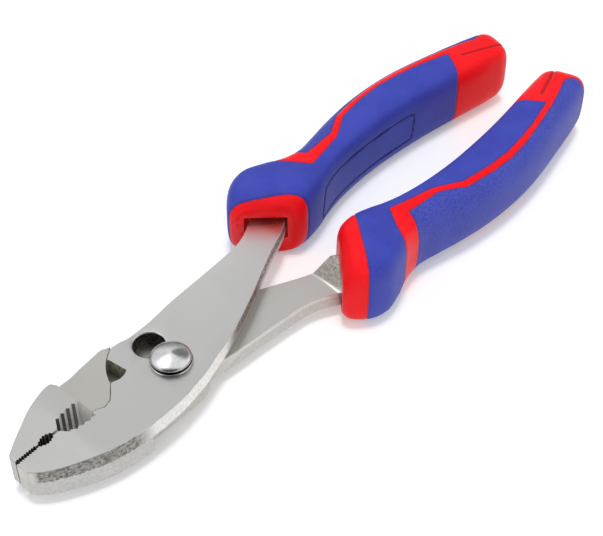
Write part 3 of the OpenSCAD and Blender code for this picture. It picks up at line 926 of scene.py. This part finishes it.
def make_grip(prefix, side, body, tang_level, lever):
    outer = loft_object("outer", grip_outer_points(side), side)
    inner = loft_object("inner", grip_inner_points(), side)
    cover_cut = region("cover_cut", cover_shares(side), side, CORNER_RADIUS, *CUT_LEVELS)
    panel_cut = region("panel_cut", panel_shares(side), side, CORNER_RADIUS, *CUT_LEVELS)
    cover = combined(combined(copy_of(outer, "cover"), cover_cut, "INTERSECT"), inner, "DIFFERENCE")
    panel = combined(combined(copy_of(outer, "panel"), panel_cut, "INTERSECT"), inner, "DIFFERENCE")
    core = outer
    for cutter in (cover_cut, panel_cut):
        combined(core, combined(cutter, inner, "DIFFERENCE"), "DIFFERENCE")
    mouth = region("mouth", MOUTH_SHARES, side, MOUTH_RADIUS,
                   tang_level - MOUTH_GAP, tang_level + PLATE + MOUTH_GAP)
    tang = solid_copy(lever, "tang")
    combined(core, mouth, "DIFFERENCE")
    combined(core, tang, "DIFFERENCE")
    discard(inner, cover_cut, panel_cut, mouth, tang)
    for piece, part, material, slot in (
            (core, "core", RED, "grip_red"), (cover, "cover", COVER_BLUE, "cover_blue"),
            (panel, "panel", PANEL_BLUE, "panel_blue")):
        mark_edges(piece, degrees=30)
        mark_grooves(piece, side)
        smooth(piece, sharp_degrees=38)
        node = prefix + "_grip_" + part
        finish_piece(piece, material, body, node, node + "_moulding")


make_grip("front", 1, "front_half", FRONT_TANG_LEVEL, "front_lever")
make_grip("rear", -1, "rear_half", (REAR_TANG_LEVEL + FRONT_TANG_LEVEL) / 2, "rear_lever")
eased_lever("front_lever", "front_lever_forging", FRONT_STEEL, "front_half")
eased_lever("rear_lever", "rear_lever_forging", REAR_STEEL, "rear_half")

# Slip joint: the bolt's domed head, flats and thread, and the nut

HEAD_LEVEL = 12.70
FLATS_LEVEL = 8.00
SHANK_LEVEL = 3.35
BOLT_RADIUS = 4.02
FLATS_HALF = 2.6
# Reach of the blocks that cut the flats, and how far the bolt's parts reach into each other
FLAT_REACH = 6.0
OVERLAP = 0.2
THREAD_RADIUS = 3.0
THREAD_PITCH = 1.0
THREAD_STEPS = 260
# The thread's groove: how far its middle lies outside the bolt, its lowest level, the length left plain,
# and the radius of its three-sided profile as a share of the pitch
THREAD_OUT, THREAD_START, THREAD_PLAIN, THREAD_SHARE = 0.22, -0.4, 0.3, 0.56
NUT_FLATS = 10.0
NUT_HEIGHT = 3.35
NUT_CORNER = NUT_FLATS / 2 / math.cos(math.pi / 6)
HEAD_STEPS, TURNED_STEPS = 128, 96
# Profiles to turn, as radius and height: the head over the plate, the shank over its own start, the
# threaded end, the nut's rounded corners, and its hole with the countersink
HEAD_PROFILE = (
    (0, 0), (5.28, 0), (5.40, 0.05), (5.45, 0.14), (5.45, 0.28), (5.38, 0.38), (5.24, 0.44), (4.98, 0.48),
    (4.90, 0.56), (4.90, 0.98), (4.96, 1.06), (5.10, 1.14), (5.17, 1.24), (5.16, 1.36), (5.08, 1.52),
    (4.94, 1.68), (4.70, 1.84), (4.25, 2.02), (3.60, 2.24), (2.80, 2.47), (1.95, 2.68), (1.10, 2.84),
    (0.45, 2.92), (0, 2.94))
SHANK_PROFILE = ((0, 0), (BOLT_RADIUS, 0), (BOLT_RADIUS, HEAD_LEVEL - SHANK_LEVEL + OVERLAP),
                 (0, HEAD_LEVEL - SHANK_LEVEL + OVERLAP))
END_PROFILE = ((0, 0), (THREAD_RADIUS - 0.42, 0), (THREAD_RADIUS, 0.4),
               (THREAD_RADIUS, SHANK_LEVEL + OVERLAP), (0, SHANK_LEVEL + OVERLAP))
NUT_PROFILE = ((0, 0), (NUT_FLATS / 2 - 0.15, 0), (NUT_CORNER + 0.2, 0.62),
               (NUT_CORNER + 0.2, NUT_HEIGHT - 0.3), (NUT_CORNER - 0.2, NUT_HEIGHT), (0, NUT_HEIGHT))
HOLE_PROFILE = ((0, -1), (THREAD_RADIUS + 1.05, -1), (THREAD_RADIUS + 0.005, 0.42),
                (THREAD_RADIUS + 0.005, NUT_HEIGHT + 1), (0, NUT_HEIGHT + 1))


def lathe(name, profile, steps, level=0.0):
    """Closed turned piece from (radius, height) points in millimetres; it starts and ends on the axis."""
    vertices = [(0, 0, (level + profile[0][1]) * MM)]
    rims = profile[1:-1]
    for radius, height in rims:
        for i in range(steps):
            angle = 2 * math.pi * i / steps
            x, y = radius * MM * math.cos(angle), radius * MM * math.sin(angle)
            vertices.append((x, y, (level + height) * MM))
    vertices.append((0, 0, (level + profile[-1][1]) * MM))
    faces = []
    top = len(vertices) - 1
    last = 1 + (len(rims) - 1) * steps
    for i in range(steps):
        j = (i + 1) % steps
        faces.append((0, 1 + j, 1 + i))
        faces += [(1 + k * steps + i, 1 + k * steps + j, 1 + (k + 1) * steps + j, 1 + (k + 1) * steps + i)
                  for k in range(len(rims) - 1)]
        faces.append((last + i, last + j, top))
    return new_object(name, vertices, faces)


def thread_tree():
    """Geometry nodes: the V of a thread carried up a helix of a given radius, pitch and length."""
    tree = bpy.data.node_groups.new("thread_turns", "GeometryNodeTree")
    t, given, out = add_sockets(tree, (
        ("Radius", VALUE, 0.003), ("Pitch", VALUE, 0.001), ("Length", VALUE, 0.003),
        ("Steps", "NodeSocketInt", 300), ("Material", "NodeSocketMaterial", None)),
        (("Geometry", "NodeSocketGeometry"),))
    turns = t.math("DIVIDE", given["Length"], given["Pitch"])
    helix = t.node("GeometryNodeCurveSpiral")
    for label, value in (("Resolution", t.math("DIVIDE", given["Steps"], turns)), ("Rotations", turns),
                         ("Start Radius", given["Radius"]), ("End Radius", given["Radius"]),
                         ("Height", given["Length"])):
        t.link(value, helix.inputs[label])
    profile = t.node("GeometryNodeCurvePrimitiveCircle")
    profile.inputs["Resolution"].default_value = 3
    t.link(t.times(given["Pitch"], THREAD_SHARE), profile.inputs["Radius"])
    sweep = t.node("GeometryNodeCurveToMesh")
    sweep.inputs["Fill Caps"].default_value = True
    t.link(helix.outputs[0], sweep.inputs["Curve"])
    t.link(profile.outputs[0], sweep.inputs["Profile Curve"])
    real = t.node("GeometryNodeRealizeInstances")
    t.link(sweep.outputs[0], real.inputs[0])
    dress = t.node("GeometryNodeSetMaterial")
    t.link(real.outputs[0], dress.inputs["Geometry"])
    t.link(given["Material"], dress.inputs["Material"])
    t.link(dress.outputs[0], out[0])
    return tree


def generated(name, tree, **values):
    """An object made by a geometry node tree with the given inputs."""
    made = new_object(name)
    modifier = made.modifiers.new(name, "NODES")
    modifier.node_group = tree
    for item in tree.interface.items_tree:
        if item.item_type == "SOCKET" and item.in_out == "INPUT" and item.name in values:
            modifier[item.identifier] = values[item.name]
    apply_modifiers(made)
    return made


def make_bolt():
    piece = lathe("bolt", HEAD_PROFILE, HEAD_STEPS, HEAD_LEVEL)
    shank = lathe("shank", SHANK_PROFILE, TURNED_STEPS, SHANK_LEVEL)
    for side in (1, -1):
        corners = ((FLATS_HALF, -FLAT_REACH), (FLAT_REACH, -FLAT_REACH), (FLAT_REACH, FLAT_REACH),
                   (FLATS_HALF, FLAT_REACH))
        flat = prism("flat", [(side * x * MM, y * MM) for x, y in corners],
                     FLATS_LEVEL * MM, HEAD_LEVEL * MM)
        combined(shank, flat, "DIFFERENCE")
        discard(flat)
    end = lathe("end", END_PROFILE, TURNED_STEPS)
    for part in (shank, end):
        combined(piece, part, "UNION")
        discard(part)
    groove = generated("groove", thread_tree(), Radius=(THREAD_RADIUS + THREAD_OUT) * MM,
                       Pitch=THREAD_PITCH * MM, Length=(SHANK_LEVEL - THREAD_PLAIN) * MM,
                       Steps=THREAD_STEPS, Material=BOLT_STEEL)
    groove.location = (0, 0, THREAD_START * MM)
    combined(piece, groove, "DIFFERENCE")
    discard(groove)
    mark_edges(piece, degrees=40)
    smooth(piece, sharp_degrees=34)
    finish_piece(piece, BOLT_STEEL, "pivot", "pivot_bolt", "pivot_bolt_turned")


def make_nut():
    corners = [(NUT_CORNER * MM * math.cos(math.pi / 3 * i), NUT_CORNER * MM * math.sin(math.pi / 3 * i))
               for i in range(6)]
    piece = prism("nut", corners, 0, NUT_HEIGHT * MM)
    turned = lathe("turned", NUT_PROFILE, TURNED_STEPS)
    combined(piece, turned, "INTERSECT")
    hole = lathe("hole", HOLE_PROFILE, TURNED_STEPS)
    combined(piece, hole, "DIFFERENCE")
    discard(turned, hole)
    mark_edges(piece, degrees=25)
    smooth(piece, sharp_degrees=25)
    finish_piece(piece, NUT_STEEL, "pivot", "pivot_nut", "pivot_nut_turned")


make_bolt()
make_nut()


# Floor and light

FLOOR_SIZE = 4.0
FLOOR_COLOR = (0.85, 0.85, 0.85, 1)
FLOOR_LIFT = (0.24, 0.24, 0.24, 1)
FILL_STRENGTH = 0.62
# The studio that polished faces mirror gets brighter between two heights, from HORIZON_LIGHT to 1
STUDIO_HEIGHTS, HORIZON_LIGHT = (0.08, 0.60), 0.12
# Its dark screen, grey screen and soft box: direction, cosine at the edge and where it is whole, and light
STUDIO_PIECES = (
    ((-0.52, -0.40, 0.755), 0.72, 0.92, 0.10),
    ((0.696, 0.282, 0.660), 0.940, 0.980, 0.24),
    ((-0.021, 0.405, 0.914), 0.945, 0.975, 1.90))
LIGHT_TARGET = (0.06, 0.0, 0.0)
KEY_AT = (0.07, 0.0, 1.0)
KEY_WIDTH = 0.22
KEY_STRENGTH = 1.30
FRONT_AT = (-0.70, -0.45, 0.60)
FRONT_WIDTH = 0.9
FRONT_STRENGTH = 0.42


def make_floor():
    half = FLOOR_SIZE / 2
    floor = new_object("floor", ((-half, -half, 0), (half, -half, 0), (half, half, 0), (-half, half, 0)),
                       [(0, 1, 2, 3)])
    material, t, shader, _ = new_material("white_floor")
    shader.inputs["Base Color"].default_value = FLOOR_COLOR
    shader.inputs["Roughness"].default_value = 1.0
    shader.inputs["Specular IOR Level"].default_value = 0
    rays = t.node("ShaderNodeLightPath")
    seen = t.math("MAXIMUM", rays.outputs["Is Camera Ray"], rays.outputs["Is Glossy Ray"])
    seen = t.math("MAXIMUM", seen, rays.outputs["Is Transmission Ray"])
    shader.inputs["Emission Strength"].default_value = 1
    t.link(t.blend(seen, (0, 0, 0, 1), FLOOR_LIFT), shader.inputs["Emission Color"])
    floor.data.materials.append(material)


def lamp(name, place, target, width, strength):
    """A broad lamp far off, so that the floor is lit evenly. Polished faces mirror the studio alone."""
    data = bpy.data.lights.new(name, "SUN")
    data.angle = width
    data.energy = strength
    light = bpy.data.objects.new(name, data)
    light.visible_glossy = False
    light.location = place
    light.rotation_mode = "QUATERNION"
    light.rotation_quaternion = (Vector(target) - Vector(place)).to_track_quat("-Z", "Y")
    bpy.context.scene.collection.objects.link(light)


def make_light():
    """An even fill for matt faces, a studio for polished ones to mirror, and two lamps."""
    world = bpy.data.worlds.new("studio")
    bpy.context.scene.world = world
    world.use_nodes = True
    t = Tree(world.node_tree)
    background = world.node_tree.nodes["Background"]
    rays = t.node("ShaderNodeLightPath")
    background.inputs["Color"].default_value = (1, 1, 1, 1)
    direction = t.node("ShaderNodeTexCoord").outputs["Generated"]
    studio = t.span(t.split(direction)["Z"], *STUDIO_HEIGHTS, HORIZON_LIGHT, 1.0)
    for toward, edge, whole, light in STUDIO_PIECES:
        cosine = t.node("ShaderNodeVectorMath", operation="DOT_PRODUCT")
        t.link(direction, cosine.inputs[0])
        cosine.inputs[1].default_value = toward
        studio = t.times(studio, t.span(cosine.outputs["Value"], edge, whole, 1.0, light))
    mirrored = t.math("MAXIMUM", rays.outputs["Is Glossy Ray"], rays.outputs["Is Transmission Ray"])
    fill = t.times(t.math("SUBTRACT", 1.0, mirrored), FILL_STRENGTH)
    strength = t.plus(t.times(mirrored, studio), fill)
    shown = t.math("MAXIMUM", strength, rays.outputs["Is Camera Ray"])
    t.link(shown, background.inputs["Strength"])
    lamp("key", KEY_AT, LIGHT_TARGET, KEY_WIDTH, KEY_STRENGTH)
    lamp("front", FRONT_AT, LIGHT_TARGET, FRONT_WIDTH, FRONT_STRENGTH)


make_camera()
make_floor()
make_light()
bpy.context.scene.view_settings.view_transform = "Standard"
